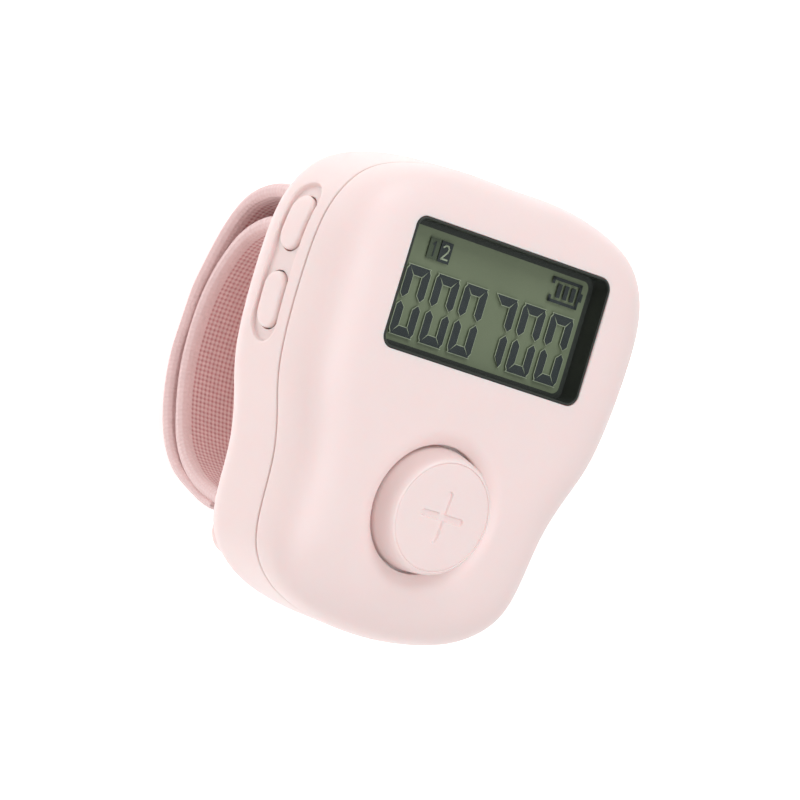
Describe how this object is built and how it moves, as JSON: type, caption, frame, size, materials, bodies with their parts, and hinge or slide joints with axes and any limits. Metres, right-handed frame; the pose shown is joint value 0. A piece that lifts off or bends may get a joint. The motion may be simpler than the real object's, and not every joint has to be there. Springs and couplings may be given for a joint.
{
  "type": "hand tally counter",
  "caption": "Finger-worn digital tally counter with a display window, a large thumb button, side buttons, a twist-off battery door and a folded hook-and-loop strap.",
  "frame": {"origin": "under the middle of the counter, on the flat back of the strap that it lies on", "axes": "+Z out of the display face, +Y towards the display end, -X towards the side with the two small buttons"},
  "size_m": [0.0354, 0.041, 0.038],
  "materials": {
    "shell_plastic": "fine satin moulded ABS, pale pink",
    "button_plastic": "smooth satin moulded ABS, pale pink",
    "lens_clear": "clear polished acrylic",
    "bezel_black": "satin black moulded plastic",
    "lcd_glass": "grey-green reflective liquid-crystal glass",
    "contact_rubber": "layered conductive silicone",
    "board_laminate": "solder-masked glass-epoxy board",
    "chip_epoxy": "domed black epoxy",
    "switch_plastic": "moulded nylon",
    "cell_steel": "nickel-plated can",
    "contact_metal": "plated spring steel",
    "screw_steel": "zinc-plated steel",
    "strap_webbing": "woven nylon loop webbing, dusty pink",
    "hook_tape": "nylon hook tape"
  },
  "bodies": {
    "case": {"front_shell": "shell_plastic", "rear_shell": "shell_plastic", "display_lens": "lens_clear", "display_bezel": "bezel_black", "lcd_panel": "lcd_glass", "zebra_strip": "contact_rubber", "circuit_board": "board_laminate", "controller_chip": "chip_epoxy", "thumb_switch_housing": "switch_plastic", "side_switch_housing_upper": "switch_plastic", "side_switch_housing_lower": "switch_plastic", "coin_cell": "cell_steel", "battery_contact_negative": "contact_metal", "battery_contact_positive": "contact_metal", "case_screw_1": "screw_steel", "case_screw_2": "screw_steel", "case_screw_3": "screw_steel", "case_screw_4": "screw_steel", "strap_bracket_top": "shell_plastic", "strap_bracket_bottom": "shell_plastic", "strap_pin_top": "screw_steel", "strap_pin_bottom": "screw_steel", "strap_band": "strap_webbing"},
    "thumb_button": {"thumb_button": "button_plastic", "thumb_switch_plunger": "switch_plastic"},
    "side_button_upper": {"side_button_upper": "button_plastic", "side_switch_plunger_upper": "switch_plastic"},
    "side_button_lower": {"side_button_lower": "button_plastic", "side_switch_plunger_lower": "switch_plastic"},
    "battery_door": {"battery_door": "shell_plastic"},
    "strap_tail": {"strap_tail": "strap_webbing", "strap_hook_patch": "hook_tape"}
  },
  "joints": [
    {"name": "thumb_press", "type": "slide", "parent": "case", "child": "thumb_button", "axis": [0, 0.061, -0.9981], "range_m": [0, 0.0007], "stiffness_N_per_m": 2500, "springref_m": -0.0001},
    {"name": "side_press_upper", "type": "slide", "parent": "case", "child": "side_button_upper", "axis": [0.9952, -0.0978, 0], "range_m": [0, 0.0004], "stiffness_N_per_m": 3000, "springref_m": -0.0001},
    {"name": "side_press_lower", "type": "slide", "parent": "case", "child": "side_button_lower", "axis": [0.9981, 0.061, 0], "range_m": [0, 0.0004], "stiffness_N_per_m": 3000, "springref_m": -0.0001},
    {"name": "battery_door_twist", "type": "hinge", "parent": "case", "child": "battery_door", "pos_m": [0, 0.00031, 0.0225], "axis": [0, 0, 1], "range_deg": [0, 45]},
    {"name": "strap_tail_peel", "type": "hinge", "parent": "case", "child": "strap_tail", "pos_m": [0, -0.00419, 0.00045], "axis": [1, 0, 0], "range_deg": [0, 50]}
  ]
}
